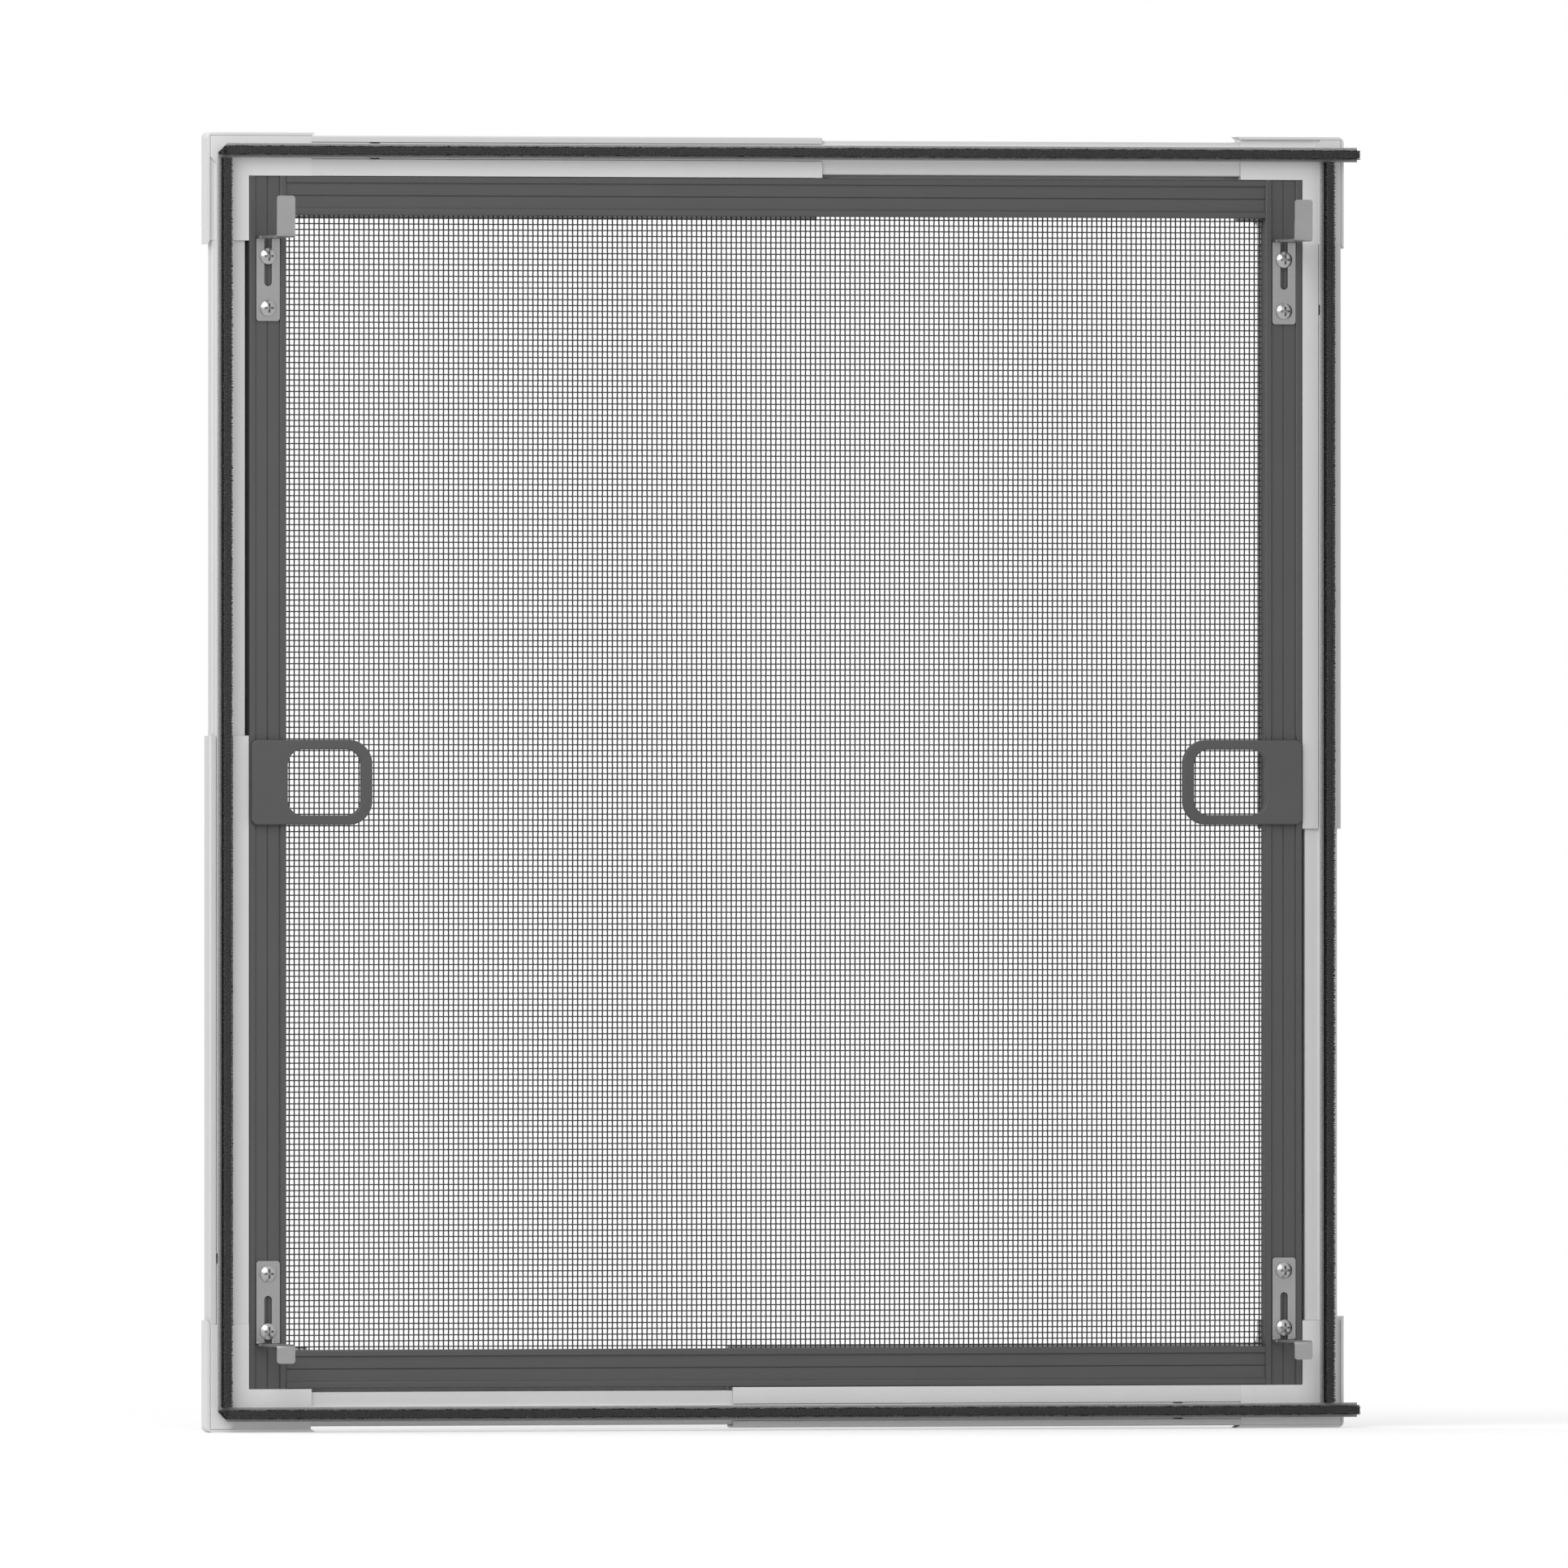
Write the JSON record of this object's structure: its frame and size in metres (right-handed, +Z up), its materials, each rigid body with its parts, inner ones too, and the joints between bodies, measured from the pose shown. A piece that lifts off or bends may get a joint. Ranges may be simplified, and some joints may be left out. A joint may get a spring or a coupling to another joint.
{
  "type": "window screen frame",
  "caption": "Hang-in insect screen: dark screen frame with mesh and finger loops, held in a white telescoping surround with brush seals and folded hanging hooks.",
  "frame": {"origin": "centre of the screen at the plane of the brush tips, which seats on the window frame", "axes": "+X to the right seen from the window side, +Z up, -Y towards the window"},
  "size_m": [0.5917, 0.0452, 0.641],
  "materials": {
    "surround_profile": "satin",
    "surround_corner": "satin",
    "brush_pile": "matte",
    "screen_profile": "satin",
    "corner_key": "matte",
    "mesh_yarn": "matte",
    "spline_rubber": "matte",
    "hook_steel": "brushed",
    "screw_zinc": "polished",
    "tab_moulding": "satin"
  },
  "bodies": {
    "root": {"brush_strip_bottom": "brush_pile", "brush_strip_left": "brush_pile", "brush_strip_right": "brush_pile", "brush_strip_top": "brush_pile", "corner_bottom_left": "surround_corner", "corner_bottom_right": "surround_corner", "corner_key_bottom_left": "corner_key", "corner_key_bottom_right": "corner_key", "corner_key_top_left": "corner_key", "corner_key_top_right": "corner_key", "corner_top_left": "surround_corner", "corner_top_right": "surround_corner", "hook_lower_left": "hook_steel", "hook_lower_right": "hook_steel", "hook_screws": "screw_zinc", "hook_upper_left": "hook_steel", "hook_upper_right": "hook_steel", "insect_mesh": "mesh_yarn", "pull_tab_left": "tab_moulding", "pull_tab_right": "tab_moulding", "screen_rail_bottom": "screen_profile", "screen_rail_top": "screen_profile", "sleeve_bottom": "surround_profile", "sleeve_left": "surround_profile", "sleeve_right": "surround_profile", "sleeve_top": "surround_profile", "slide_rail_bottom": "surround_profile", "slide_rail_left": "surround_profile", "slide_rail_right": "surround_profile", "slide_rail_top": "surround_profile", "spline_bottom": "spline_rubber", "spline_left": "spline_rubber", "spline_right": "spline_rubber", "spline_top": "spline_rubber", "stile_left": "screen_profile", "stile_right": "screen_profile"}
  },
  "joints": []
}
